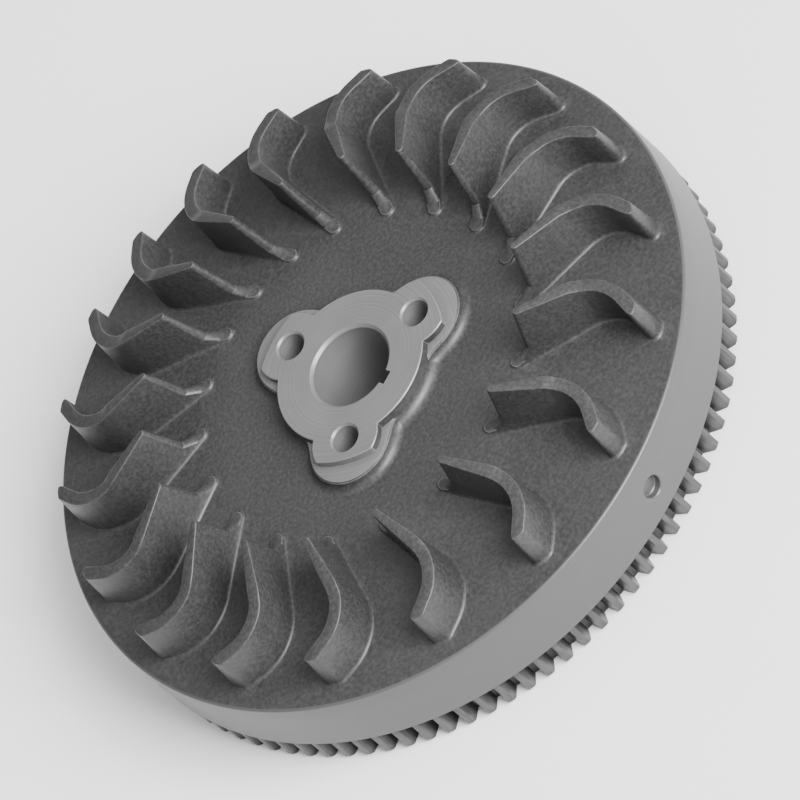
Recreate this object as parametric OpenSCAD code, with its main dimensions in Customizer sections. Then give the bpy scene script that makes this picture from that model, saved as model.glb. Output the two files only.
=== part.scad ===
// Fan flywheel for a small engine: a grey iron casting with integral cooling vanes on its
// front face, a starter ring gear shrunk on at the back of its rim, and the magnet rotor of
// the charging alternator screwed into the hollow of its back.
// Origin: on the crank axis, in the plane of the rim's back face. +Z points out of the fan side.

/* [Rim and disc] */
// Outside diameter of the rim
rim_d = 248; // [240:1:260]
// Depth of the rim, back face to front edge
rim_depth = 37; // [34:0.5:44]
// Inside diameter of the hollow back
pocket_d = 192; // [188:1:196]
// Depth of the hollow back
pocket_depth = 30; // [28:0.5:31]
// Fall of the fan face from the hub to the rim, in degrees
face_slope = 5.3; // [3:0.1:7]
// Radius inside which the fan face is flat
face_flat_r = 60; // [50:1:61]
// Diameter of the timing hole in the rim
timing_hole_d = 8; // [4:0.5:9]
// Depth of the timing hole
timing_hole_depth = 3; // [1:0.5:6]
// Height of the timing hole above the back face
timing_hole_z = 24; // [20:0.5:28]

/* [Hub] */
// Crankshaft bore
bore_d = 30; // [24:1:34]
// Width of the keyway
key_w = 5; // [4:0.5:8]
// Depth of the keyway beyond the bore wall
key_depth = 3; // [2:0.1:4]
// Diameter of the round boss on the fan side
boss_d = 58; // [52:1:62]
// Height of the boss face above the rim's front edge
boss_rise = 13; // [10:0.5:16]
// Pitch circle of the three bolt holes
bolt_pcd = 57; // [52:0.5:62]
// Diameter of the bolt holes
bolt_hole_d = 10; // [8:0.5:11]
// Radius of the ear around each bolt hole
ear_r = 13; // [11:0.5:15]
// Diameter that the ears are turned down to next to the boss face
register_d = 74; // [70:1:80]
// Depth of the turned register
register_depth = 3; // [1:0.5:5]
// Diameter of the hub inside the hollow back
back_hub_d = 74; // [70:1:78]
// Height of the hub's back face above the rim's back face
back_hub_z = 10; // [4:1:16]

/* [Fan vanes] */
// Radius of the vanes' outer ends
vane_tip_r = 116; // [110:1:119]
// Radius where the leading edge meets the face
vane_root_r = 62; // [56:1:68]
// Radius where the leading edge turns up from its toe
vane_toe_r = 69; // [66:0.5:70]
// Height of that turn above the rim's front edge
vane_toe_h = 11.3; // [9:0.1:14]
// Radius of the crest's inner corner
vane_peak_r = 73.8; // [70:0.2:80]
// Height of the crest's inner corner above the rim's front edge
vane_peak_h = 27.9; // [20:0.1:32]
// Height of the crest over the bend
vane_mid_h = 21.7; // [16:0.1:26]
// Height of the crest at the outer end
vane_tip_h = 16.7; // [10:0.1:20]
// Thickness of a vane
vane_t = 5.6; // [4:0.1:7]
// Radius of the bend's centreline
bend_r = 16.7; // [12:0.1:22]
// Distance of the bend's centre from the crank axis
bend_x = 98; // [94:0.5:102]
// Sideways offset of the bend's centre
bend_y = -2.3; // [-6:0.1:2]
// Lean of the inner leg from the radial direction, in degrees
inner_lean = 30.5; // [20:0.5:40]
// Lean of the outer leg the other way, in degrees
outer_lean = 44; // [30:0.5:55]

/* [Ring gear] */
// Number of teeth
teeth = 95; // [90:1:97]
// Module of the teeth
tooth_module = 2.54; // [2.5:0.01:2.56]
// Width of the ring gear
gear_w = 12; // [10:0.5:14]
// Diameter of its seat on the rim
seat_d = 218; // [214:1:222]
// Size of the lead-in bevel on the teeth
tooth_bevel = 1.2; // [0:0.1:2]

/* [Magnet rotor] */
// Number of magnets
poles = 16; // [16:1:16]
// Thickness of the magnets
magnet_t = 8; // [5:0.5:9]
// Length of the magnets along the axis
magnet_l = 20; // [14:1:20]
// Gap between neighbouring magnets, in degrees
magnet_gap = 3; // [2:0.5:5]
// Wall of the steel magnet ring
ring_wall = 4; // [3:0.5:5]
// Number of screws that hold the magnet ring
ring_screws = 6; // [3:1:8]
// Thread diameter of those screws
screw_d = 5; // [4:1:6]

/* [Hidden] */
// Gaps between neighbouring vanes, in degrees: uneven, so that the fan doesn't whistle
VANE_GAPS = [18, 18.7, 18.8, 19.1, 20.2, 22.3, 22.1, 21.9, 21, 19.3,
             19.2, 18.7, 19, 17.5, 17.6, 15.7, 15.7, 16.3, 18.9];
// Angle of the first vane from +X
FIRST_VANE = 27;
// Angle of the first tooth from +X
FIRST_TOOTH = -1.3;
// Angle of the keyway and the timing hole
KEY_ANGLE = -90;
// Angle that the disc's section is turned from, between two vanes
SECTION_ANGLE = -76;
// Flats that a vane's bend is made of
BEND_FLATS = 8;
// Tooth form: pressure angle, and tip and root heights in modules
PRESSURE = 20;
ADDENDUM = 1;
DEDENDUM = 1.25;
// Chamfers on machined edges
EDGE = 1;
// Overlap that keeps cuts and joins clean
EPS = 0.5;
$fn = 128;

rim_r = rim_d / 2;
pocket_r = pocket_d / 2;
boss_z = rim_depth + boss_rise;
face_edge_r = rim_r - EDGE;
pitch_r = teeth * tooth_module / 2;
tip_r = pitch_r + ADDENDUM * tooth_module;
root_r = pitch_r - DEDENDUM * tooth_module;
seat_r = seat_d / 2;
ring_in_r = pocket_r - ring_wall;
magnet_in_r = ring_in_r - magnet_t;
flange_t = 3;
flange_in_r = magnet_in_r - 8;
flange_z = pocket_depth - flange_t;
cage_t = 2;
magnet_z = flange_z - cage_t - magnet_l;
keeper_t = 1.5;
keeper_z = magnet_z - keeper_t;
screw_circle_r = (flange_in_r + magnet_in_r) / 2;
screw_head_d = screw_d * 1.7;
screw_head_h = screw_d * 0.6;
screw_grip = 8;
pole_pitch = 360 / poles;
balance_r = (pocket_r + seat_r) / 2;

MAGNETS = [for (i = [1 : poles]) str("magnet_", i < 10 ? "0" : "", i)];

// Height of the fan face at a radius: a shallow cone that ends at the rim's edge, and flat inside it
function face_z(r) = rim_depth + (face_edge_r - max(r, face_flat_r)) * tan(face_slope);

// Angle of vane i: the first vane's angle less the gaps before it
function vane_angle(i) = i == 0 ? FIRST_VANE : vane_angle(i - 1) - VANE_GAPS[i - 1];

// Point at a radius and an angle
function polar(r, a) = [r * cos(a), r * sin(a)];

// Involute of the base circle: polar angle of the flank at radius r
function involute(r, base_r) = r <= base_r ? 0 : sqrt(pow(r / base_r, 2) - 1) * 180 / PI - acos(base_r / r);

// Half of a tooth's angular width at radius r
function half_tooth(r) =
    90 / teeth + involute(pitch_r, pitch_r * cos(PRESSURE)) - involute(r, pitch_r * cos(PRESSURE));

// Flank radii, root to tip
FLANK = [root_r, pitch_r - 0.5 * tooth_module, pitch_r + 0.25 * tooth_module, tip_r];

// ---- casting ----

// Point on a leg: it starts square to the bend's radius at angle a, and runs on for a length
function leg_point(r, a, length) = polar(r, a) + length * [-sin(a), cos(a)];

// Plan of one vane, laid along +X: an inner leg, a bend in short flats and an outer leg
module vane_plan() {
    inner_a = 90 + inner_lean;
    outer_a = 90 - outer_lean;
    step = (inner_a - outer_a) / BEND_FLATS;
    leg = 45;
    convex_r = bend_r + vane_t / 2;
    concave_r = bend_r - vane_t / 2;
    translate([bend_x, bend_y]) polygon(concat(
        [leg_point(convex_r, outer_a, -leg)],
        [for (i = [0 : BEND_FLATS]) polar(convex_r, outer_a + step * i)],
        [leg_point(convex_r, inner_a, leg), leg_point(concave_r, inner_a, leg)],
        [for (i = [BEND_FLATS : -1 : 0]) polar(concave_r, outer_a + step * i)],
        [leg_point(concave_r, outer_a, -leg)]
    ));
}

// Side view of one vane, along X and Z: leading edge, sloping crest and foot
module vane_side() {
    low = face_z(vane_root_r) - 5;
    polygon([
        [vane_root_r, low],
        [vane_root_r, face_z(vane_root_r)],
        [vane_toe_r, rim_depth + vane_toe_h],
        [vane_peak_r, rim_depth + vane_peak_h],
        [bend_x - 4, rim_depth + vane_mid_h],
        [vane_tip_r, rim_depth + vane_tip_h],
        [rim_r, rim_depth + vane_tip_h - 3],
        [rim_r, rim_depth - 3],
        [vane_tip_r, rim_depth - 3]
    ]);
}

// One vane along +X, cut off at its outer end by a cylinder round the crank axis
module vane() {
    low = rim_depth - 3;
    intersection() {
        translate([0, 0, low]) linear_extrude(vane_peak_h + 5) vane_plan();
        rotate([90, 0, 0]) linear_extrude(4 * bend_r, center = true) vane_side();
        rotate(180) translate([0, 0, low - EPS]) cylinder(r = vane_tip_r, h = vane_peak_h + 6);
    }
}

// Half section of the disc, rim and hub, with the round boss and its skirt
module disc_section() {
    hub_r = back_hub_d / 2;
    boss_r = boss_d / 2;
    skirt_r = boss_r + 7;
    polygon([
        [0, back_hub_z],
        [hub_r - EDGE, back_hub_z],
        [hub_r, back_hub_z + EDGE],
        [hub_r, pocket_depth],
        [pocket_r, pocket_depth],
        [pocket_r, EDGE],
        [pocket_r + EDGE, 0],
        [seat_r, 0],
        [seat_r, gear_w],
        [rim_r, gear_w],
        [rim_r, rim_depth - EDGE],
        [face_edge_r, rim_depth],
        [face_flat_r, face_z(face_flat_r)],
        [skirt_r, face_z(skirt_r)],
        [boss_r, boss_z - register_depth + EDGE / 2],
        [boss_r, boss_z],
        [0, boss_z]
    ]);
}

// Ear around a bolt hole: cast larger, and turned down to the register next to the boss face
module ear() {
    base_z = pocket_depth + EPS;
    translate([bolt_pcd / 2, 0, base_z]) cylinder(r = ear_r + 1.5, h = boss_z - register_depth - base_z);
    intersection() {
        translate([bolt_pcd / 2, 0, base_z]) cylinder(r = ear_r, h = boss_z - base_z);
        translate([0, 0, base_z - EPS]) cylinder(d = register_d, h = boss_z - base_z + EPS);
    }
}

// Bore with its keyway and both chamfers
module bore_cut() {
    bore_l = boss_z - back_hub_z;
    translate([0, 0, back_hub_z - EPS]) cylinder(d = bore_d, h = bore_l + 2 * EPS);
    translate([0, 0, boss_z - EDGE]) cylinder(d1 = bore_d, d2 = bore_d + 4 * EDGE, h = 2 * EDGE);
    translate([0, 0, back_hub_z - EDGE]) cylinder(d1 = bore_d + 4 * EDGE, d2 = bore_d, h = 2 * EDGE);
    rotate(KEY_ANGLE) translate([0, -key_w / 2, back_hub_z - EPS])
        cube([bore_d / 2 + key_depth, key_w, bore_l + 2 * EPS]);
}

// Bolt holes through the hub, in line with and 120 degrees from the keyway's far side
module bolt_cuts() {
    for (i = [0 : 2]) rotate(90 + 120 * i) translate([bolt_pcd / 2, 0, 0]) {
        translate([0, 0, back_hub_z - EPS])
            cylinder(d = bolt_hole_d, h = boss_z - back_hub_z + 2 * EPS, $fn = 48);
        translate([0, 0, boss_z - EDGE / 2])
            cylinder(d1 = bolt_hole_d, d2 = bolt_hole_d + 2 * EDGE, h = EDGE, $fn = 48);
    }
}

// Blind timing hole in the rim, in line with the keyway
module timing_cut() {
    rotate(KEY_ANGLE) translate([rim_r - timing_hole_depth, 0, timing_hole_z]) rotate([0, 90, 0])
        cylinder(d = timing_hole_d, h = timing_hole_depth + 2, $fn = 48);
}

// Tapped holes for the magnet ring's screws
module ring_screw_cuts() {
    for (i = [0 : ring_screws - 1]) rotate(pole_pitch / 2 + 360 / ring_screws * i)
        translate([screw_circle_r, 0, pocket_depth - EPS])
            cylinder(d = screw_d, h = screw_grip - flange_t + EPS, $fn = 32);
}

// Balance drillings in the rim's back face
module balance_cuts() {
    for (a = [200, 214, 228]) rotate(a) translate([balance_r, 0, -EPS]) cylinder(d = 8, h = 6 + EPS, $fn = 32);
}

module flywheel_casting() {
    color("dimgray") difference() {
        union() {
            rotate(SECTION_ANGLE) rotate_extrude() disc_section();
            for (i = [0 : len(VANE_GAPS) - 1])
                rotate(vane_angle(i)) vane();
            for (i = [0 : 2])
                rotate(90 + 120 * i) ear();
        }
        bore_cut();
        bolt_cuts();
        timing_cut();
        ring_screw_cuts();
        balance_cuts();
    }
}

// ---- ring gear ----

module gear_plan() {
    polygon([
        for (i = [0 : teeth - 1]) let (a = 360 / teeth * i)
            each concat(
                [for (r = FLANK) polar(r, a - half_tooth(r))],
                [for (j = [len(FLANK) - 1 : -1 : 0]) polar(FLANK[j], a + half_tooth(FLANK[j]))]
            )
    ]);
}

module ring_gear() {
    color("gray") rotate(FIRST_TOOTH) difference() {
        intersection() {
            linear_extrude(gear_w) gear_plan();
            rotate_extrude() polygon([
                [seat_r - 5, 0],
                [tip_r - tooth_bevel, 0],
                [tip_r + EPS, tooth_bevel + EPS],
                [tip_r + EPS, gear_w],
                [seat_r - 5, gear_w]
            ]);
        }
        translate([0, 0, -EPS]) cylinder(r = seat_r, h = gear_w + 2 * EPS);
    }
}

// ---- magnet rotor in the hollow back ----

module magnet_ring() {
    color("silver") difference() {
        rotate_extrude() polygon([
            [ring_in_r, keeper_z - 1],
            [pocket_r, keeper_z - 1],
            [pocket_r, pocket_depth],
            [flange_in_r, pocket_depth],
            [flange_in_r, flange_z],
            [ring_in_r, flange_z]
        ]);
        for (i = [0 : ring_screws - 1]) rotate(pole_pitch / 2 + 360 / ring_screws * i)
            translate([screw_circle_r, 0, flange_z - EPS])
                cylinder(d = screw_d + 0.5, h = flange_t + 2 * EPS, $fn = 32);
    }
}

// Wedge from the axis, used to cut arcs out of rings
module sector(a0, a1, h) {
    far = pocket_r * 1.3;
    linear_extrude(h) polygon([[0, 0], polar(far, a0), polar(far, (a0 + a1) / 2), polar(far, a1)]);
}

module magnet(i) {
    half = (pole_pitch - magnet_gap) / 2;
    color("darkslategray") intersection() {
        translate([0, 0, magnet_z]) difference() {
            cylinder(r = ring_in_r, h = magnet_l);
            translate([0, 0, -EPS]) cylinder(r = magnet_in_r, h = magnet_l + 2 * EPS);
        }
        rotate(pole_pitch * (i - 1)) translate([0, 0, magnet_z]) sector(-half, half, magnet_l);
    }
}

// Moulded cage: a ring with one rib in each gap between magnets
module magnet_cage() {
    rib = magnet_gap / 2;
    color("black") difference() {
        union() {
            translate([0, 0, magnet_z + magnet_l]) cylinder(r = ring_in_r, h = cage_t);
            intersection() {
                translate([0, 0, magnet_z]) cylinder(r = ring_in_r, h = magnet_l + EPS);
                for (i = [0 : poles - 1]) rotate(pole_pitch * (i + 0.5))
                    translate([0, 0, magnet_z]) sector(-rib, rib, magnet_l + EPS);
            }
        }
        translate([0, 0, magnet_z - EPS]) cylinder(r = magnet_in_r, h = magnet_l + cage_t + 2 * EPS);
    }
}

// Thin ring that keeps the magnets in from the back
module magnet_keeper() {
    color("lightgray") translate([0, 0, keeper_z]) difference() {
        cylinder(r = ring_in_r, h = keeper_t);
        translate([0, 0, -EPS]) cylinder(r = magnet_in_r, h = keeper_t + 2 * EPS);
    }
}

// Socket cap screws, heads towards the open back
module ring_screws_set() {
    socket_d = screw_d * 0.9;
    color("slategray") for (i = [0 : ring_screws - 1]) rotate(pole_pitch / 2 + 360 / ring_screws * i)
        translate([screw_circle_r, 0, flange_z]) difference() {
            union() {
                cylinder(d = screw_d - 0.2, h = screw_grip - EPS, $fn = 32);
                translate([0, 0, -screw_head_h]) cylinder(d = screw_head_d, h = screw_head_h, $fn = 32);
            }
            translate([0, 0, -screw_head_h - EPS]) cylinder(d = socket_d, h = screw_head_h * 0.6 + EPS, $fn = 6);
        }
}

flywheel_casting();
ring_gear();
magnet_ring();
magnet_cage();
magnet_keeper();
ring_screws_set();  // ring_screws
for (i = [1 : poles]) magnet(i);
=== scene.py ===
import math
import bpy
from mathutils import Matrix, Vector


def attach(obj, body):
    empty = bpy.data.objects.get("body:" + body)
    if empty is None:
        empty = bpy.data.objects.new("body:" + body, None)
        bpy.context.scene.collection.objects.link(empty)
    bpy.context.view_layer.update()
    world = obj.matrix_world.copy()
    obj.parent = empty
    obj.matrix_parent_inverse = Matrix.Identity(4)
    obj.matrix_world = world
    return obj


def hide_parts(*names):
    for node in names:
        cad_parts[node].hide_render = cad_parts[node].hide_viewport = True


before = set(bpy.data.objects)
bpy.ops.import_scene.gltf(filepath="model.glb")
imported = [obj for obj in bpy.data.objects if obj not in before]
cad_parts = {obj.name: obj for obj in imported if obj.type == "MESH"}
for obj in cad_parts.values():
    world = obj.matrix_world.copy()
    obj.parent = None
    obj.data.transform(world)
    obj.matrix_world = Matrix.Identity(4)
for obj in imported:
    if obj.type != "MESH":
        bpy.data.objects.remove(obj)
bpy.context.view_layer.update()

# ---- Disc, rim and hub ----
# The body of the wheel is one grey iron casting. The rim, the seats, the pocket and the hub's ends
# are turned on a lathe, and everything else keeps the skin of the sand mould.

MM = 0.001
TURN_STEPS = 240
RIM_R = 124
BAND_Z = 12
FRONT_Z = 37
SEAT_R = 109
POCKET_R = 96
POCKET_Z = 30
BACK_HUB_R = 37
BACK_HUB_Z = 10
BORE_R = 15
BOSS_R = 29
BOSS_Z = 50
SKIRT_ROUND = 4.2
SKIRT_DRAFT = 7
FLAT_R = 60
FACE_SLOPE = math.tan(math.radians(5.3))
SKIRT_OUT = 0.5
CAP_R = 18
BOSS_EDGE = 0.3
TURNED_EDGE = 1
SEAT_EDGE = 0.5
BACK_EDGE = 0.6
POCKET_ROUND = 2
BACK_HUB_ROUND = 3
FACE_LOOPS = (40, 46, 53, FLAT_R, 66, 74, 82, 90, 98, 106, 114, RIM_R - 2)
RIM_LOOPS = (28, 20)
POCKET_LOOPS = (78, 60, 46)
WELD = 1e-6


def face_z(r):
    """Height of the fan face at a radius: a shallow cone round a flat."""
    return FRONT_Z + (RIM_R - TURNED_EDGE - max(r, FLAT_R)) * FACE_SLOPE


def arc(r, z, radius, start, end, steps):
    """Points of a section's arc round (r, z), with angles in degrees from the outward direction."""
    angles = [math.radians(start + (end - start) * i / steps) for i in range(steps + 1)]
    return [(r + radius * math.cos(a), z + radius * math.sin(a)) for a in angles]


def draw_section(name, points):
    """A new piece in edit mode: a line through (radius, height) points in mm, closed off the axis."""
    places = [Vector((r * MM, 0, z * MM)) for r, z in points]
    ends = places[:1] if points[0][0] else []
    bpy.ops.object.select_all(action="DESELECT")
    bpy.ops.mesh.primitive_plane_add(size=MM, location=places[0])
    piece = bpy.context.object
    piece.name = name
    bpy.ops.object.transform_apply(location=True)
    bpy.ops.object.mode_set(mode="EDIT")
    bpy.ops.mesh.select_mode(type="VERT")
    bpy.ops.mesh.select_all(action="SELECT")
    bpy.ops.mesh.merge(type="CENTER")
    for here, there in zip(places, places[1:] + ends):
        bpy.ops.mesh.extrude_region_move(TRANSFORM_OT_translate={"value": there - here})
    bpy.ops.mesh.select_all(action="SELECT")
    bpy.ops.mesh.remove_doubles(threshold=WELD)
    bpy.ops.mesh.select_all(action="SELECT")
    return piece


def turn(name, points, steps=TURN_STEPS):
    """A turned piece: the section spun right round the crank axis."""
    piece = draw_section(name, points)
    bpy.ops.mesh.spin(steps=steps, angle=math.tau, center=(0, 0, 0), axis=(0, 0, 1))
    bpy.ops.mesh.select_all(action="SELECT")
    bpy.ops.mesh.remove_doubles(threshold=WELD)
    bpy.ops.mesh.normals_make_consistent(inside=False)
    bpy.ops.object.mode_set(mode="OBJECT")
    return piece


disc_points = [(0, BOSS_Z), (CAP_R, BOSS_Z), (BOSS_R - BOSS_EDGE, BOSS_Z), (BOSS_R, BOSS_Z - BOSS_EDGE)]
skirt_r = BOSS_R + SKIRT_OUT + SKIRT_ROUND
skirt_z = face_z(skirt_r) + SKIRT_ROUND
disc_points += arc(skirt_r, skirt_z, SKIRT_ROUND, 180 + SKIRT_DRAFT, 270, steps=8)
disc_points += [(r, face_z(r)) for r in FACE_LOOPS]
disc_points += arc(RIM_R - TURNED_EDGE, FRONT_Z - TURNED_EDGE, TURNED_EDGE, 85, 0, steps=4)
disc_points += [(RIM_R, z) for z in RIM_LOOPS]
disc_points += [(RIM_R, BAND_Z + SEAT_EDGE), (RIM_R - SEAT_EDGE, BAND_Z), (SEAT_R, BAND_Z)]
disc_points += [(SEAT_R, BACK_EDGE), (SEAT_R - BACK_EDGE, 0)]
disc_points += [(POCKET_R + TURNED_EDGE, 0), (POCKET_R, TURNED_EDGE)]
disc_points += arc(POCKET_R - POCKET_ROUND, POCKET_Z - POCKET_ROUND, POCKET_ROUND, 0, 90, steps=4)
disc_points += [(r, POCKET_Z) for r in POCKET_LOOPS]
back_r = BACK_HUB_R + BACK_HUB_ROUND
disc_points += arc(back_r, POCKET_Z - BACK_HUB_ROUND, BACK_HUB_ROUND, 90, 180, steps=5)
disc_points += [(BACK_HUB_R, BACK_HUB_Z + TURNED_EDGE), (BACK_HUB_R - TURNED_EDGE, BACK_HUB_Z)]
disc_points += [(CAP_R, BACK_HUB_Z), (0, BACK_HUB_Z)]
casting = turn("flywheel_body", disc_points)

# ---- Hub ears ----
# Three ears round the bolt holes. They are cast wider than the register, which is turned on
# their top 3 mm, so that each ear keeps a crescent step outside it.

BOLT_R = 28.5
EAR_R = 13
CAST_EAR_R = 15
REGISTER_R = 37
REGISTER_Z = 47
EAR_ANGLES = (90, -30, -150)
OUTLINE_STEPS = 360
SOFT_CORNER = 16
FOOT_ROUND = 3.6
TOP_ROUND = 0.5
EAR_DRAFT = 0.25
HUB_SUNK = 0.1
BASE_BOSS_R = BOSS_R - 0.6
BASE_LIMIT = 60
TOP_BOSS_R = 24
TOP_H = 3.5
TOP_WALL = 1.2
TOP_EDGE = 0.3
SLAB_H = 2
FILLET_STEPS = 6
EDGE_STEPS = 3


def hub_reach(angle, boss_r, ear_r):
    """How far the hub reaches at an angle: a round boss and three ears with soft inner corners."""
    reach = boss_r ** SOFT_CORNER
    for ear in EAR_ANGLES:
        off = math.radians(angle - ear)
        side = BOLT_R * math.sin(off)
        if math.cos(off) > 0 and abs(side) < ear_r:
            reach += (BOLT_R * math.cos(off) + math.sqrt(ear_r ** 2 - side ** 2)) ** SOFT_CORNER
    return reach ** (1 / SOFT_CORNER)


def hub_slab(name, z, boss_r, ear_r, limit, steps):
    """A slab with the hub's outline, whose edge is shaped by (inset, rise) steps in mm."""
    bpy.ops.object.select_all(action="DESELECT")
    bpy.ops.mesh.primitive_circle_add(vertices=OUTLINE_STEPS, radius=MM, fill_type="NGON")
    slab = bpy.context.object
    slab.name = name
    for vertex in slab.data.vertices:
        angle = math.degrees(math.atan2(vertex.co.y, vertex.co.x))
        reach = min(hub_reach(angle, boss_r, ear_r), limit)
        vertex.co = Vector((vertex.co.x * reach, vertex.co.y * reach, z * MM))
    bpy.ops.object.mode_set(mode="EDIT")
    bpy.ops.mesh.select_mode(type="FACE")
    bpy.ops.mesh.select_all(action="SELECT")
    bpy.ops.mesh.extrude_region_move(TRANSFORM_OT_translate={"value": (0, 0, SLAB_H * MM)})
    for inset, rise in steps:
        bpy.ops.mesh.inset(thickness=inset * MM, depth=rise * MM, use_even_offset=True)
    bpy.ops.mesh.select_all(action="SELECT")
    bpy.ops.mesh.normals_make_consistent(inside=False)
    bpy.ops.object.mode_set(mode="OBJECT")
    return slab


def rounding(radius, steps, hollow=True):
    """(inset, rise) steps of a quarter round: hollow as a fillet, or full as a rounded edge."""
    turns = [math.pi / 2 * i / steps for i in range(steps + 1)]
    hollow_steps = [(radius * (math.sin(b) - math.sin(a)), radius * (math.cos(a) - math.cos(b)))
                    for a, b in zip(turns, turns[1:])]
    if hollow:
        return hollow_steps
    return [(rise, inset) for inset, rise in hollow_steps]


def select_only(piece):
    """Makes a piece the active one, and the only one that is selected."""
    bpy.ops.object.select_all(action="DESELECT")
    bpy.context.view_layer.objects.active = piece
    piece.select_set(True)


def combine(body, tool, operation):
    """Joins a tool to a body, or cuts it out of the body, and then drops the tool."""
    modifier = body.modifiers.new(operation, "BOOLEAN")
    modifier.operation = operation
    modifier.object = tool
    modifier.solver = "EXACT"
    select_only(body)
    bpy.ops.object.modifier_apply(modifier=modifier.name)
    bpy.data.objects.remove(tool)


foot_z = face_z(0) - HUB_SUNK
wall = REGISTER_Z - foot_z - FOOT_ROUND - TOP_ROUND
cast_steps = rounding(FOOT_ROUND, FILLET_STEPS) + [(EAR_DRAFT, wall)]
cast_steps += rounding(TOP_ROUND, EDGE_STEPS, hollow=False)
spread = sum(inset for inset, rise in cast_steps)
ear_base = hub_slab("ear_base", foot_z - SLAB_H, BASE_BOSS_R + spread, CAST_EAR_R + spread,
                    BASE_LIMIT, cast_steps)
combine(casting, ear_base, "UNION")
top_steps = [(0, TOP_WALL), (TOP_EDGE, TOP_EDGE)]
ear_top = hub_slab("ear_top", BOSS_Z - TOP_H, TOP_BOSS_R, EAR_R, REGISTER_R, top_steps)
combine(casting, ear_top, "UNION")

# ---- Fan vanes ----
# Nineteen vanes are cast on the face, at uneven spacing so that the fan doesn't whistle. Each has
# a straight inner leg, a bend and a straight outer leg, with draft, soft edges and a base fillet.

VANE_GAPS = (18, 18.7, 18.8, 19.1, 20.2, 22.3, 22.1, 21.9, 21, 19.3, 19.2, 18.7, 19, 17.5, 17.6, 15.7,
             15.7, 16.3)
FIRST_VANE = 27
BEND_X = 98.07
BEND_Y = -2.3
BEND_R = 16.74
INNER_ANGLE = 120.5
OUTER_ANGLE = 46
INNER_LEG = 33.4
OUTER_LEG = 22
BEND_STEPS = 16
BASE_T = 6.6
NOSE_T = 4.4
FILLET = 1.5
DRAFT = 0.95
FOOT_CORNER = 3.2
TIP_CORNER = 3.9
CORNER_STEPS = 5
END_HALF_TAN = math.tan(math.radians(22.2))
TOE_RISE = 3.1
TOE_R = 69
CREST_R = 74
VANE_END_R = 116.6
CREST_ROUND = 0.4
VANE_SUNK = 0.12
PLINTH = 1.5
FOOT_R = 65
TOE_DRAFT = 0.15
WALL_RISE = 5
END_ALONG = 9
CORNER_PROFILE = 0.42
CREST = ((60, 69.2), (74, 64.9), (92.2, 59.9), (93.4, 59.1), (96.4, 58), (120, 53))


def crest_z(r):
    """Height of a vane's crest: two turned cones with a short step between them."""
    for (r0, z0), (r1, z1) in zip(CREST, CREST[1:]):
        if r <= r1:
            return z0 + (z1 - z0) * (r - r0) / (r1 - r0)
    return CREST[-1][1]


def on_leg(angle, along, across):
    """A point on a leg, which starts square to the bend's radius at an angle, in metres."""
    out = Vector((math.cos(math.radians(angle)), math.sin(math.radians(angle)), 0))
    on = Vector((-out.y, out.x, 0))
    return (Vector((BEND_X, BEND_Y, 0)) + out * (BEND_R + across) + on * along) * MM


def nose_to(vane, r):
    """Slides the nose of the level that is selected along its leg, out to a radius in mm."""
    bpy.ops.object.mode_set(mode="OBJECT")
    along = (on_leg(INNER_ANGLE, 0, 0) - on_leg(INNER_ANGLE, INNER_LEG, 0)).normalized()
    level = sorted((v for v in vane.data.vertices if v.select), key=lambda v: v.co.dot(along))
    middle = (level[0].co + level[1].co) / 2
    slide = (r * MM - Vector((middle.x, middle.y, 0)).length) / along.dot(middle.xy.to_3d().normalized())
    for vertex in level[:2 * (CORNER_STEPS + 1)]:
        vertex.co += along * slide
    bpy.ops.object.mode_set(mode="EDIT")


nose_half = NOSE_T / 2 + FILLET
bend_half = BASE_T / 2 + FILLET
bend_start = on_leg(INNER_ANGLE, 0, 0)
nose_middle = on_leg(INNER_ANGLE, INNER_LEG, 0)
bpy.ops.object.select_all(action="DESELECT")
bpy.ops.mesh.primitive_plane_add(size=MM)
vane = bpy.context.object
vane.name = "fan_vane"
# Only one edge of the plane is kept: it is laid across the nose and drawn out along the vane.
bpy.ops.object.mode_set(mode="EDIT")
bpy.ops.mesh.select_mode(type="VERT")
bpy.ops.mesh.select_all(action="DESELECT")
bpy.ops.object.mode_set(mode="OBJECT")
for vertex in vane.data.vertices:
    vertex.select = vertex.co.x > 0
bpy.ops.object.mode_set(mode="EDIT")
bpy.ops.mesh.delete(type="VERT")
bpy.ops.object.mode_set(mode="OBJECT")
vane.data.vertices[0].co = on_leg(INNER_ANGLE, INNER_LEG, -nose_half)
vane.data.vertices[1].co = on_leg(INNER_ANGLE, INNER_LEG, nose_half)
bpy.ops.object.mode_set(mode="EDIT")
bpy.ops.mesh.select_all(action="SELECT")
bpy.ops.mesh.extrude_region_move(TRANSFORM_OT_translate={"value": bend_start - nose_middle})
widen = bend_half / nose_half
bpy.ops.transform.resize(value=(widen, widen, 1), center_override=bend_start)
bpy.ops.mesh.spin(steps=BEND_STEPS, angle=math.radians(INNER_ANGLE - OUTER_ANGLE),
                  center=(BEND_X * MM, BEND_Y * MM, 0), axis=(0, 0, 1))
out = on_leg(OUTER_ANGLE, -OUTER_LEG, 0) - on_leg(OUTER_ANGLE, 0, 0)
bpy.ops.mesh.extrude_region_move(TRANSFORM_OT_translate={"value": out})
bpy.ops.mesh.select_all(action="SELECT")
bpy.ops.mesh.remove_doubles(threshold=WELD)
# The outer end is cut square to the wheel's radius, at the foot of its fillet.
end_way = on_leg(OUTER_ANGLE, -END_ALONG, 0).normalized()
bpy.ops.mesh.select_all(action="SELECT")
bpy.ops.mesh.bisect(plane_co=end_way * (VANE_END_R + FILLET) * MM, plane_no=end_way, clear_outer=True)
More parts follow.
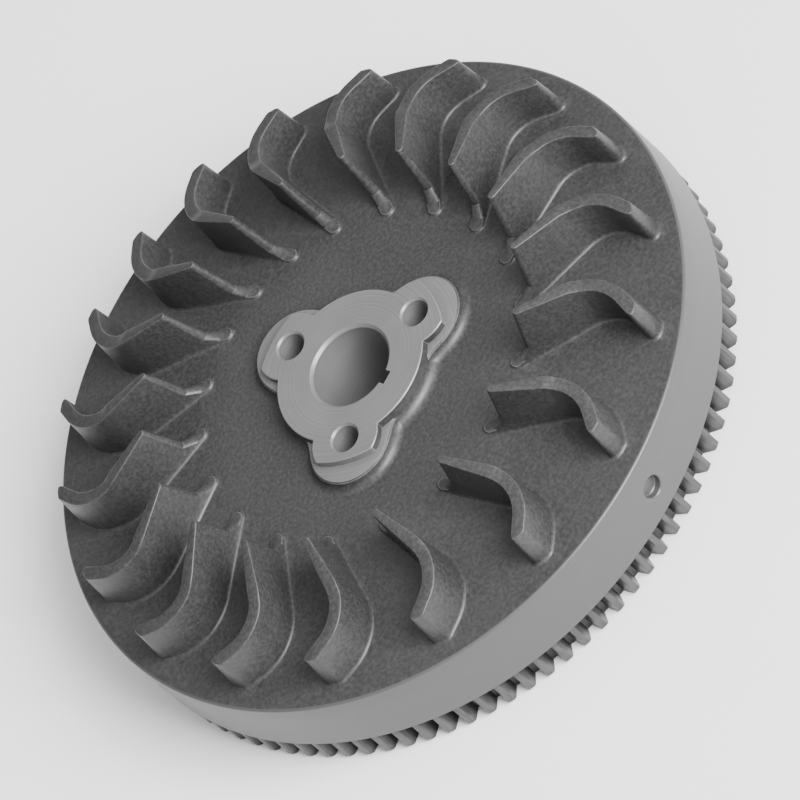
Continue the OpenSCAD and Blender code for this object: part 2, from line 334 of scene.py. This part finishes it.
# The four corners of the plan are rounded, so that the fillet runs round them.
bpy.ops.object.mode_set(mode="OBJECT")
end_corners = sorted(vane.data.vertices, key=lambda v: v.co.dot(end_way))[-2:]
nose_corners = sorted(vane.data.vertices, key=lambda v: v.co.dot(nose_middle - bend_start))[-2:]
acute, blunt = sorted((v.co.copy() for v in end_corners), key=lambda place: place.y)
corners = [(v.co.copy(), FOOT_CORNER) for v in nose_corners]
corners += [(acute, TIP_CORNER / END_HALF_TAN), (blunt, FOOT_CORNER * END_HALF_TAN)]
for place, tangent in corners:
    for item in (*vane.data.vertices, *vane.data.edges, *vane.data.polygons):
        item.select = False
    min(vane.data.vertices, key=lambda v: (v.co - place).length).select = True
    bpy.ops.object.mode_set(mode="EDIT")
    bpy.ops.mesh.select_mode(type="VERT")
    bpy.ops.mesh.bevel(offset=tangent * MM, affect="VERTICES", segments=CORNER_STEPS,
                       profile=CORNER_PROFILE)
    bpy.ops.object.mode_set(mode="OBJECT")
bpy.ops.object.mode_set(mode="EDIT")
bpy.ops.mesh.select_mode(type="FACE")
bpy.ops.mesh.select_all(action="SELECT")
bpy.ops.mesh.normals_make_consistent(inside=False)
bpy.ops.mesh.extrude_region_move(TRANSFORM_OT_translate={"value": (0, 0, PLINTH * MM)})
bpy.ops.object.mode_set(mode="OBJECT")
for vertex in vane.data.vertices:
    vertex.co.z -= PLINTH * MM
bpy.ops.object.mode_set(mode="EDIT")
for inset, rise in rounding(FILLET, FILLET_STEPS):
    bpy.ops.mesh.inset(thickness=inset * MM, depth=rise * MM, use_even_offset=True)
# The walls rise in two levels, and the nose slides out along the vane at each.
nose_to(vane, FOOT_R)
bpy.ops.mesh.inset(thickness=TOE_DRAFT * MM, depth=TOE_RISE * MM, use_even_offset=True)
nose_to(vane, TOE_R)
bpy.ops.mesh.inset(thickness=(DRAFT - TOE_DRAFT) * MM, depth=WALL_RISE * MM, use_even_offset=True)
nose_to(vane, CREST_R)
bpy.ops.object.mode_set(mode="OBJECT")
for vertex in vane.data.vertices:
    if vertex.select:
        r = vertex.co.xy.length / MM
        vertex.co.z = (crest_z(r) - face_z(r) - CREST_ROUND) * MM
bpy.ops.object.mode_set(mode="EDIT")
for inset, rise in rounding(CREST_ROUND, EDGE_STEPS, hollow=False):
    bpy.ops.mesh.inset(thickness=inset * MM, depth=rise * MM, use_even_offset=True)
bpy.ops.object.mode_set(mode="OBJECT")
for vertex in vane.data.vertices:
    vertex.co.z += (face_z(vertex.co.xy.length / MM) - VANE_SUNK) * MM

vanes = []
angle = FIRST_VANE
for gap in (0,) + VANE_GAPS:
    angle -= gap
    copy = vane.copy()
    copy.data = vane.data.copy()
    copy.data.transform(Matrix.Rotation(math.radians(angle), 4, "Z"))
    bpy.context.scene.collection.objects.link(copy)
    vanes.append(copy)
bpy.data.objects.remove(vane)
select_only(vanes[0])
for copy in vanes:
    copy.select_set(True)
bpy.ops.object.join()
combine(casting, vanes[0], "UNION")

# ---- Bored and drilled holes ----
# The bore has a keyway and chamfers. Three bolt holes go through the hub. The rim has a shallow
# timing hole in line with the keyway, and balance drillings in its back face.

KEY_W = 5
KEY_DEPTH = 3
KEYWAY_H = 60
BELOW_HUB = 5
BORE_STEPS = 96
HOLE_STEPS = 48
BOLT_HOLE_R = 5
TIMING_Z = 24
TIMING_SECTION = ((0, -3), (3.6, -3), (4, -2.6), (4, -0.4), (4.6, 0.2), (4.6, 1), (0, 1))
BALANCE_R = 102.5
BALANCE_ANGLES = (200, 214, 228)
BALANCE_SECTION = ((0, -1), (4, -1), (4, 5), (0, 7))
SEAM = 2e-5
SLIVER = 1e-5
CAST_SMOOTH = math.radians(32)


def drill(name, points, matrix, steps=HOLE_STEPS):
    """Cuts a turned tool, given as its section, out of the casting."""
    tool = turn(name, points, steps)
    tool.data.transform(matrix)
    combine(casting, tool, "DIFFERENCE")


bore_points = [(0, BELOW_HUB), (BORE_R + 6, BELOW_HUB), (BORE_R, BACK_HUB_Z + 1), (BORE_R, BOSS_Z - 1)]
bore_points += [(BORE_R + 2, BOSS_Z + 1), (0, BOSS_Z + 1)]
drill("bore", bore_points, Matrix.Identity(4), BORE_STEPS)
bpy.ops.object.select_all(action="DESELECT")
bpy.ops.mesh.primitive_cube_add(size=1)
keyway = bpy.context.object
keyway.data.transform(Matrix.Translation((0, -(BORE_R + KEY_DEPTH) / 2 * MM, KEYWAY_H / 2 * MM))
                      @ Matrix.Diagonal((KEY_W * MM, (BORE_R + KEY_DEPTH) * MM, KEYWAY_H * MM, 1)))
combine(casting, keyway, "DIFFERENCE")
bolt_points = [(0, BELOW_HUB), (BOLT_HOLE_R, BELOW_HUB), (BOLT_HOLE_R, BOSS_Z - 0.7)]
bolt_points += [(BOLT_HOLE_R + 1, BOSS_Z + 0.3), (0, BOSS_Z + 0.3)]
for ear in EAR_ANGLES:
    turned = Matrix.Rotation(math.radians(ear), 4, "Z")
    drill("bolt_hole", bolt_points, turned @ Matrix.Translation((BOLT_R * MM, 0, 0)))
upright = Matrix.Rotation(math.radians(90), 4, "X")
drill("timing_hole", TIMING_SECTION, Matrix.Translation((0, -RIM_R * MM, TIMING_Z * MM)) @ upright)
for around in BALANCE_ANGLES:
    turned = Matrix.Rotation(math.radians(around), 4, "Z")
    drill("balance_hole", BALANCE_SECTION, turned @ Matrix.Translation((BALANCE_R * MM, 0, 0)))
select_only(casting)
bpy.ops.object.mode_set(mode="EDIT")
bpy.ops.mesh.select_all(action="SELECT")
bpy.ops.mesh.remove_doubles(threshold=SEAM)
bpy.ops.mesh.dissolve_degenerate(threshold=SLIVER)
bpy.ops.object.mode_set(mode="OBJECT")
bpy.ops.object.shade_smooth_by_angle(angle=CAST_SMOOTH)
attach(casting, "root")
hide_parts("flywheel_casting")

# ---- Finish of the casting ----
# Grey iron poured in a sand mould, blasted and thinly oiled: dark and even, a little grainy, with painted
# shade in its hollows, and lighter on its edges and fillets, partly worn by handling and partly a painted
# highlight. Turned and drilled faces are bare, with fine tool marks.

# Options of the Mix node that blends colours, its sockets, and the Math node that stretches a value.
BLEND = {"data_type": "RGBA"}
SHARE = 0
FROM = 6
TO = 7
BLENDED = 2
STRETCH = {"operation": "MULTIPLY_ADD", "use_clamp": True}

# An edge shows where the rounded normal leans this far from the flat one, and over this span.
EDGE_START = 0.98
EDGE_SPAN = 0.18

# Where tools have cut the casting.
BORE_CUT_R = BORE_R + 4
BOLT_CUT_R = 6.2
BACK_CUT_R = POCKET_R - 1
BACK_CUT_Z = BAND_Z + 0.3
RIM_CUT_R = RIM_R - 1.1
RIM_CUT_Z = FRONT_Z - 0.05
HUB_CUT_R = 50
HUB_CUT_Z = REGISTER_Z - 0.1
REGISTER_CUT_R = REGISTER_R - 0.3
FACING_UP = 0.3
POCKET_CUT_R = 70
POCKET_CUT_Z = POCKET_Z + 0.1
BACK_HUB_CUT_R = BACK_HUB_R + 0.5


def colour(code):
    """Linear colour of an sRGB hex value."""
    parts = [int(code[i:i + 2], 16) / 255 for i in (1, 3, 5)]
    return tuple(p / 12.92 if p <= 0.04045 else ((p + 0.055) / 1.055) ** 2.4 for p in parts) + (1,)


def fill(node, inputs):
    """Gives a node's inputs their values, or links them to other nodes' outputs."""
    for name, value in inputs.items():
        if isinstance(value, bpy.types.NodeSocket):
            node.id_data.links.new(value, node.inputs[name])
        else:
            node.inputs[name].default_value = value


def add_node(tree, kind, settings, inputs, output=0):
    """Adds a node, sets its options, fills its inputs, and returns one of its outputs."""
    node = tree.nodes.new("ShaderNode" + kind)
    for name, value in settings.items():
        setattr(node, name, value)
    fill(node, inputs)
    return node.outputs[output]


def new_material(name):
    """A new material. Returns it with its node tree, its shader and the place on the piece in mm."""
    material = bpy.data.materials.new(name)
    material.use_nodes = True
    tree = material.node_tree
    place = add_node(tree, "TexCoord", {}, {}, "Object")
    place_mm = add_node(tree, "VectorMath", {"operation": "SCALE"}, {0: place, "Scale": 1000})
    return material, tree, tree.nodes["Principled BSDF"], place_mm


def edge_nearness(tree, radius_mm):
    """How near a surface is to an edge: 0 on a flat, 1 on a sharp edge."""
    rounded = add_node(tree, "Bevel", {"samples": 6}, {"Radius": radius_mm * MM})
    normal = add_node(tree, "NewGeometry", {}, {}, "Normal")
    along = add_node(tree, "VectorMath", {"operation": "DOT_PRODUCT"}, {0: rounded, 1: normal}, "Value")
    return add_node(tree, "Math", STRETCH, {0: along, 1: -1 / EDGE_SPAN, 2: EDGE_START / EDGE_SPAN})


# As-cast grey iron: blasted sand skin with 1.3 mm grain, drawn a little coarser than sand is.
as_cast, tree, shader, place = new_material("as_cast_grey_iron")
patches = add_node(tree, "TexNoise", {}, {"Vector": place, "Scale": 1 / 30, "Detail": 4})
patches = add_node(tree, "Math", STRETCH, {0: patches, 1: 3, 2: -1})
grain = add_node(tree, "TexNoise", {}, {"Vector": place, "Scale": 1 / 1.3, "Detail": 4})
skin = add_node(tree, "Mix", BLEND, {SHARE: patches, FROM: colour("#2f2f2f"),
                                     TO: colour("#343434")}, BLENDED)
light_grain = add_node(tree, "Math", STRETCH, {0: grain, 1: 0.35, 2: -0.13})
skin = add_node(tree, "Mix", BLEND, {SHARE: light_grain, FROM: skin, TO: colour("#7a7a79")}, BLENDED)
# Painted shade: the skin is darkened towards near black wherever ambient occlusion finds a hollow, in
# corners and at the feet of the vanes and the hub.
open_share = add_node(tree, "AmbientOcclusion", {"samples": 8}, {"Distance": 6 * MM}, "AO")
painted_hollow_shade = add_node(tree, "Math", STRETCH, {0: open_share, 1: -0.45, 2: 0.34})
skin = add_node(tree, "Mix", BLEND, {SHARE: painted_hollow_shade, FROM: skin, TO: colour("#141414")}, BLENDED)
# Edges and fillets, hollow ones as well as sharp ones, are painted lighter: partly wear from handling,
# partly a painted highlight along the edges and the feet of the vanes.
edge_wear_and_highlight = add_node(tree, "TexNoise", {}, {"Vector": place, "Scale": 1 / 5})
edge_wear_and_highlight = add_node(tree, "Math", {"operation": "MULTIPLY"}, {0: edge_nearness(tree, 0.9), 1: edge_wear_and_highlight})
skin = add_node(tree, "Mix", BLEND, {SHARE: edge_wear_and_highlight, FROM: skin, TO: colour("#8c8c8b")}, BLENDED)
rough = add_node(tree, "Math", STRETCH, {0: grain, 1: 0.35, 2: 0.27})
bump = add_node(tree, "Bump", {}, {"Height": grain, "Distance": 0.02 * MM, "Strength": 1})
fill(shader, {"Base Color": skin, "Metallic": 0.25, "Roughness": rough, "Normal": bump})

# Turned grey iron: lathe marks run round the crank axis. Their pitch, about 0.2 mm on such a part, is
# drawn at 0.6 mm.
turned_iron, tree, shader, place = new_material("turned_grey_iron")
flat = add_node(tree, "VectorMath", {"operation": "MULTIPLY"}, {0: place, 1: (1, 1, 0)})
radius = add_node(tree, "VectorMath", {"operation": "LENGTH"}, {0: flat}, "Value")
height = add_node(tree, "SeparateXYZ", {}, {0: place}, "Z")
across = add_node(tree, "Math", {"operation": "ADD"}, {0: radius, 1: height})
marks = add_node(tree, "TexNoise", {"noise_dimensions": "1D"}, {"W": across, "Scale": 1 / 0.6, "Detail": 2})
dull = add_node(tree, "TexNoise", {}, {"Vector": place, "Scale": 1 / 18, "Detail": 4})
dull = add_node(tree, "Math", STRETCH, {0: dull, 1: 3, 2: -1})
bare = add_node(tree, "Mix", BLEND, {SHARE: dull, FROM: colour("#6a6a6a"), TO: colour("#636363")}, BLENDED)
bright = add_node(tree, "Math", STRETCH, {0: marks, 1: 0.16, 2: -0.05})
bare = add_node(tree, "Mix", BLEND, {SHARE: bright, FROM: bare, TO: colour("#d0d0cf")}, BLENDED)
# The turned faces are painted darker from 50 mm radius outwards, fully from 100 mm: painted shade on the
# rim's turned band.
outer = add_node(tree, "Math", STRETCH, {0: radius, 1: 1 / 50, 2: -1})
bare = add_node(tree, "Mix", BLEND, {SHARE: outer, FROM: bare, TO: colour("#4c4c4c")}, BLENDED)
stain = add_node(tree, "TexNoise", {}, {"Vector": place, "Scale": 1 / 3, "Detail": 5})
stain = add_node(tree, "Math", STRETCH, {0: stain, 1: 2.5, 2: -1.55})
bare = add_node(tree, "Mix", BLEND, {SHARE: stain, FROM: bare, TO: colour("#5f5c56")}, BLENDED)
rough = add_node(tree, "Math", STRETCH, {0: marks, 1: 0.2, 2: 0.3})
bump = add_node(tree, "Bump", {}, {"Height": marks, "Distance": 0.002 * MM, "Strength": 1})
fill(shader, {"Base Color": bare, "Metallic": 0.3, "Roughness": rough, "Normal": bump})


def is_turned(face):
    """Is this face of the casting one that a lathe or a drill has cut?"""
    x, y, z = face.center / MM
    r = math.hypot(x, y)
    bolts = [math.radians(ear) for ear in EAR_ANGLES]
    to_bolt = min(math.hypot(x - BOLT_R * math.cos(a), y - BOLT_R * math.sin(a)) for a in bolts)
    if r < BORE_CUT_R or to_bolt < BOLT_CUT_R:
        return True
    if (z < BACK_CUT_Z and r > BACK_CUT_R) or (z < RIM_CUT_Z and r > RIM_CUT_R):
        return True
    if z > HUB_CUT_Z and r < HUB_CUT_R:
        return face.normal.z > FACING_UP or (r > REGISTER_CUT_R and z > REGISTER_Z)
    return z < POCKET_CUT_Z and (r > POCKET_CUT_R or r < BACK_HUB_CUT_R)


casting.data.materials.clear()
casting.data.materials.append(as_cast)
casting.data.materials.append(turned_iron)
for face in casting.data.polygons:
    face.material_index = 1 if is_turned(face) else 0

# ---- Ring gear ----
# The starter's ring gear is a steel ring, hobbed, hardened at the teeth and shrunk on its seat
# behind the rim. Its edges are broken, and the pinion has polished the tips of the teeth.

NODE_WELD = 2e-6
FLAT_WITHIN = math.radians(1)
QUAD_WITHIN = math.radians(60)
BEVEL_FROM = math.radians(28)
NODE_SMOOTH = math.radians(25)


def finish_node(node, edge_mm, material, segments=2):
    """A copy of a CAD piece with rounded edges and its own finish, which stands for that piece."""
    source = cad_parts[node]
    piece = bpy.data.objects.new(node + "_finished", source.data.copy())
    bpy.context.scene.collection.objects.link(piece)
    select_only(piece)
    bpy.ops.object.mode_set(mode="EDIT")
    bpy.ops.mesh.select_mode(type="VERT")
    bpy.ops.mesh.select_all(action="SELECT")
    bpy.ops.mesh.remove_doubles(threshold=NODE_WELD)
    bpy.ops.mesh.tris_convert_to_quads(face_threshold=FLAT_WITHIN, shape_threshold=QUAD_WITHIN)
    bpy.ops.object.mode_set(mode="OBJECT")
    rounded = piece.modifiers.new("edges", "BEVEL")
    rounded.width = edge_mm * MM
    rounded.segments = segments
    rounded.limit_method = "ANGLE"
    rounded.angle_limit = BEVEL_FROM
    bpy.ops.object.modifier_apply(modifier=rounded.name)
    bpy.ops.object.shade_smooth_by_angle(angle=NODE_SMOOTH)
    piece.data.materials.clear()
    piece.data.materials.append(material)
    for face in piece.data.polygons:
        face.material_index = 0
    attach(piece, "root")
    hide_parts(node)
    return piece


# Hobbed and hardened gear steel: painted shade darkens the roots of the teeth, with cutter streaks 0.9 mm
# apart.
gear_steel, tree, shader, place = new_material("hobbed_gear_steel")
drawn_out = add_node(tree, "Mapping", {}, {0: place, "Scale": (1, 1, 0.12)})
streaks = add_node(tree, "TexNoise", {}, {"Vector": drawn_out, "Scale": 1 / 0.9, "Detail": 3})
blotch = add_node(tree, "TexNoise", {}, {"Vector": place, "Scale": 1 / 9, "Detail": 4})
blotch = add_node(tree, "Math", STRETCH, {0: blotch, 1: 3, 2: -1})
steel = add_node(tree, "Mix", BLEND, {SHARE: blotch, FROM: colour("#434343"),
                                      TO: colour("#383838")}, BLENDED)
cuts = add_node(tree, "Math", STRETCH, {0: streaks, 1: 0.8, 2: -0.3})
steel = add_node(tree, "Mix", BLEND, {SHARE: cuts, FROM: steel, TO: colour("#787877")}, BLENDED)
# Painted shade: the steel is darkened to near black where ambient occlusion finds the roots of the teeth.
open_share = add_node(tree, "AmbientOcclusion", {"samples": 8}, {"Distance": 4 * MM}, "AO")
painted_root_shade = add_node(tree, "Math", STRETCH, {0: open_share, 1: -1.5, 2: 1.4})
steel = add_node(tree, "Mix", BLEND, {SHARE: painted_root_shade, FROM: steel, TO: colour("#0f0f0e")}, BLENDED)
polish = add_node(tree, "Math", {"operation": "MULTIPLY"}, {0: edge_nearness(tree, 0.4), 1: 0.6})
steel = add_node(tree, "Mix", BLEND, {SHARE: polish, FROM: steel, TO: colour("#b4b4b2")}, BLENDED)
rough = add_node(tree, "Math", STRETCH, {0: streaks, 1: 0.4, 2: 0.22})
bump = add_node(tree, "Bump", {}, {"Height": streaks, "Distance": 0.015 * MM, "Strength": 1})
fill(shader, {"Base Color": steel, "Metallic": 0.35, "Roughness": rough, "Normal": bump})
finish_node("ring_gear", 0.25, gear_steel)

# ---- Magnet ring and its screws ----
# The alternator's magnets stand in a steel ring pressed from plate and zinc plated. Six black
# socket screws hold its flange to the floor of the pocket.

# Zinc plated steel: pale, slightly yellow, with soft bloom 12 mm across and 0.8 mm spangle.
zinc, tree, shader, place = new_material("zinc_plated_steel")
bloom = add_node(tree, "TexNoise", {}, {"Vector": place, "Scale": 1 / 12, "Detail": 5})
bloom = add_node(tree, "Math", STRETCH, {0: bloom, 1: 3, 2: -1})
plate = add_node(tree, "Mix", BLEND, {SHARE: bloom, FROM: colour("#b0aa96"), TO: colour("#989486")}, BLENDED)
spangle = add_node(tree, "TexNoise", {}, {"Vector": place, "Scale": 1 / 0.8, "Detail": 3})
light = add_node(tree, "Math", STRETCH, {0: spangle, 1: 1, 2: -0.4})
plate = add_node(tree, "Mix", BLEND, {SHARE: light, FROM: plate, TO: colour("#d2ceba")}, BLENDED)
rough = add_node(tree, "Math", STRETCH, {0: spangle, 1: 0.3, 2: 0.2})
bump = add_node(tree, "Bump", {}, {"Height": spangle, "Distance": 0.01 * MM, "Strength": 1})
fill(shader, {"Base Color": plate, "Metallic": 0.9, "Roughness": rough, "Normal": bump})
finish_node("magnet_ring", 0.6, zinc, 3)

# Black oxide steel: a thin dark layer, rubbed through to grey on the edges of the heads.
black_oxide, tree, shader, place = new_material("black_oxide_steel")
speck = add_node(tree, "TexNoise", {}, {"Vector": place, "Scale": 1 / 0.7, "Detail": 4})
oxide = add_node(tree, "Mix", BLEND, {SHARE: speck, FROM: colour("#1d1d1e"), TO: colour("#454546")}, BLENDED)
edge_wear_and_highlight = add_node(tree, "Math", {"operation": "MULTIPLY"}, {0: edge_nearness(tree, 0.3), 1: speck})
oxide = add_node(tree, "Mix", BLEND, {SHARE: edge_wear_and_highlight, FROM: oxide, TO: colour("#9a9a9c")}, BLENDED)
rough = add_node(tree, "Math", STRETCH, {0: speck, 1: 0.3, 2: 0.25})
bump = add_node(tree, "Bump", {}, {"Height": speck, "Distance": 0.01 * MM, "Strength": 1})
fill(shader, {"Base Color": oxide, "Metallic": 0.6, "Roughness": rough, "Normal": bump})
finish_node("ring_screws", 0.3, black_oxide)

# ---- Magnets, cage and keeper ----
# Sixteen ferrite arcs, sintered and ground, sit between the ribs of a moulded nylon cage. A thin
# pressed ring keeps them in from the back.

MAGNET_COUNT = 16

# Sintered ferrite: charcoal grey, matt and finely porous, with 0.6 mm pores.
ferrite, tree, shader, place = new_material("ground_ferrite")
cloud = add_node(tree, "TexNoise", {}, {"Vector": place, "Scale": 1 / 8, "Detail": 3})
stone = add_node(tree, "Mix", BLEND, {SHARE: cloud, FROM: colour("#2b2c2f"), TO: colour("#47484b")}, BLENDED)
pores = add_node(tree, "TexNoise", {}, {"Vector": place, "Scale": 1 / 0.6, "Detail": 4})
open_pores = add_node(tree, "Math", STRETCH, {0: pores, 1: 3, 2: -1.8})
stone = add_node(tree, "Mix", BLEND, {SHARE: open_pores, FROM: stone, TO: colour("#6a6b70")}, BLENDED)
rough = add_node(tree, "Math", STRETCH, {0: pores, 1: 0.4, 2: 0.33})
bump = add_node(tree, "Bump", {}, {"Height": pores, "Distance": 0.02 * MM, "Strength": 1})
fill(shader, {"Base Color": stone, "Metallic": 0.1, "IOR": 2.2, "Roughness": rough, "Normal": bump})
for number in range(1, MAGNET_COUNT + 1):
    finish_node(f"magnet_{number:02d}", 0.5, ferrite)

# Glass-filled nylon: black, dull, with the fibres' 0.5 mm mottle.
nylon, tree, shader, place = new_material("glass_filled_nylon")
fibres = add_node(tree, "TexNoise", {}, {"Vector": place, "Scale": 1 / 0.5, "Detail": 4})
tint = add_node(tree, "Mix", BLEND, {SHARE: fibres, FROM: colour("#141416"), TO: colour("#2e2e30")}, BLENDED)
rough = add_node(tree, "Math", STRETCH, {0: fibres, 1: 0.35, 2: 0.4})
bump = add_node(tree, "Bump", {}, {"Height": fibres, "Distance": 0.01 * MM, "Strength": 1})
fill(shader, {"Base Color": tint, "Metallic": 0, "IOR": 1.53, "Roughness": rough, "Normal": bump})
finish_node("magnet_cage", 0.25, nylon)

# Cold-rolled keeper steel: bright, with rolling lines 0.8 mm apart along one direction.
keeper_steel, tree, shader, place = new_material("cold_rolled_steel")
drawn_out = add_node(tree, "Mapping", {}, {0: place, "Scale": (0.08, 1, 1)})
rolled = add_node(tree, "TexNoise", {}, {"Vector": drawn_out, "Scale": 1 / 0.8, "Detail": 3})
sheet = add_node(tree, "Mix", BLEND, {SHARE: rolled, FROM: colour("#7c7c7d"),
                                      TO: colour("#bababa")}, BLENDED)
rough = add_node(tree, "Math", STRETCH, {0: rolled, 1: 0.3, 2: 0.18})
bump = add_node(tree, "Bump", {}, {"Height": rolled, "Distance": 0.008 * MM, "Strength": 1})
fill(shader, {"Base Color": sheet, "Metallic": 0.95, "Roughness": rough, "Normal": bump})
finish_node("magnet_keeper", 0.3, keeper_steel)

# ---- Floor, lights and camera ----
# A plain pale floor, a large soft key light just right of the camera, and walls that glow on the
# key's side and fade to the far side. The floor lies just under the wheel's flat back.

FLOOR_GAP = 0.2 * MM
FLOOR_SIZE = 30
KEY_AZIMUTH = math.radians(-77)
KEY_ELEVATION = math.radians(38)
KEY_FAR = 3
KEY_ENERGY = 300
KEY_SIZE = 1.8
GLOW_POWER = 2
GLOW_SPAN = 1.5
GLOW_LEAST = 0.25

bpy.ops.object.select_all(action="DESELECT")
bpy.ops.mesh.primitive_plane_add(size=FLOOR_SIZE, location=(0, 0, -FLOOR_GAP))
floor = bpy.context.object
floor.name = "floor"
bpy.ops.object.transform_apply(location=True)
# Matt white paper, with a faint cloudiness 60 mm across.
paper, tree, shader, place = new_material("matt_paper")
cloud = add_node(tree, "TexNoise", {}, {"Vector": place, "Scale": 1 / 60, "Detail": 3})
tint = add_node(tree, "Mix", BLEND, {SHARE: cloud, FROM: colour("#f6f6f6"), TO: colour("#fafafa")}, BLENDED)
fill(shader, {"Base Color": tint, "Roughness": 0.9, "Specular IOR Level": 0.1})
floor.data.materials.append(paper)

key_level = Vector((math.cos(KEY_AZIMUTH), math.sin(KEY_AZIMUTH), 0))
key_way = key_level * math.cos(KEY_ELEVATION) + Vector((0, 0, math.sin(KEY_ELEVATION)))
key_data = bpy.data.lights.new("key", "AREA")
key_data.energy = KEY_ENERGY
key_data.size = KEY_SIZE
key = bpy.data.objects.new("key", key_data)
key.location = key_way * KEY_FAR
key.rotation_euler = key_way.to_track_quat("Z", "Y").to_euler()
bpy.context.scene.collection.objects.link(key)
studio = bpy.data.worlds.new("studio")
bpy.context.scene.world = studio
studio.use_nodes = True
sky = studio.node_tree
toward = add_node(sky, "TexCoord", {}, {}, "Generated")
facing = add_node(sky, "VectorMath", {"operation": "DOT_PRODUCT"}, {0: toward, 1: key_way}, "Value")
glow = add_node(sky, "Math", STRETCH, {0: facing, 1: 0.5, 2: 0.5})
glow = add_node(sky, "Math", {"operation": "POWER"}, {0: glow, 1: GLOW_POWER})
glow = add_node(sky, "Math", {"operation": "MULTIPLY_ADD"}, {0: glow, 1: GLOW_SPAN, 2: GLOW_LEAST})
fill(sky.nodes["Background"], {"Color": colour("#ffffff"), "Strength": glow})

# The camera stands so far off that the view is nearly parallel, looking down on the fan side.
CAMERA_FAR = 5
VIEW_WIDTH = 0.270371
SENSOR = 36
CLIP_FAR = 100
AIM_HEIGHT = 0.037
AIM_RIGHT = 0.0102
AIM_DOWN = 0.00575
UP = Vector((0.8571, 0.2317, 0.4600))
BACK = Vector((-0.2022, -0.6699, 0.7143)).normalized()
RIGHT = UP.cross(BACK).normalized()
camera_data = bpy.data.cameras.new("camera")
camera = bpy.data.objects.new("camera", camera_data)
bpy.context.scene.collection.objects.link(camera)
camera_data.sensor_width = SENSOR
camera_data.lens = CAMERA_FAR / VIEW_WIDTH * SENSOR
camera_data.clip_end = CLIP_FAR
aim = Vector((0, 0, AIM_HEIGHT)) + RIGHT * AIM_RIGHT - UP * AIM_DOWN
camera.matrix_world = Matrix((RIGHT, BACK.cross(RIGHT), BACK)).transposed().to_4x4()
camera.location = aim + BACK * CAMERA_FAR
bpy.context.scene.camera = camera
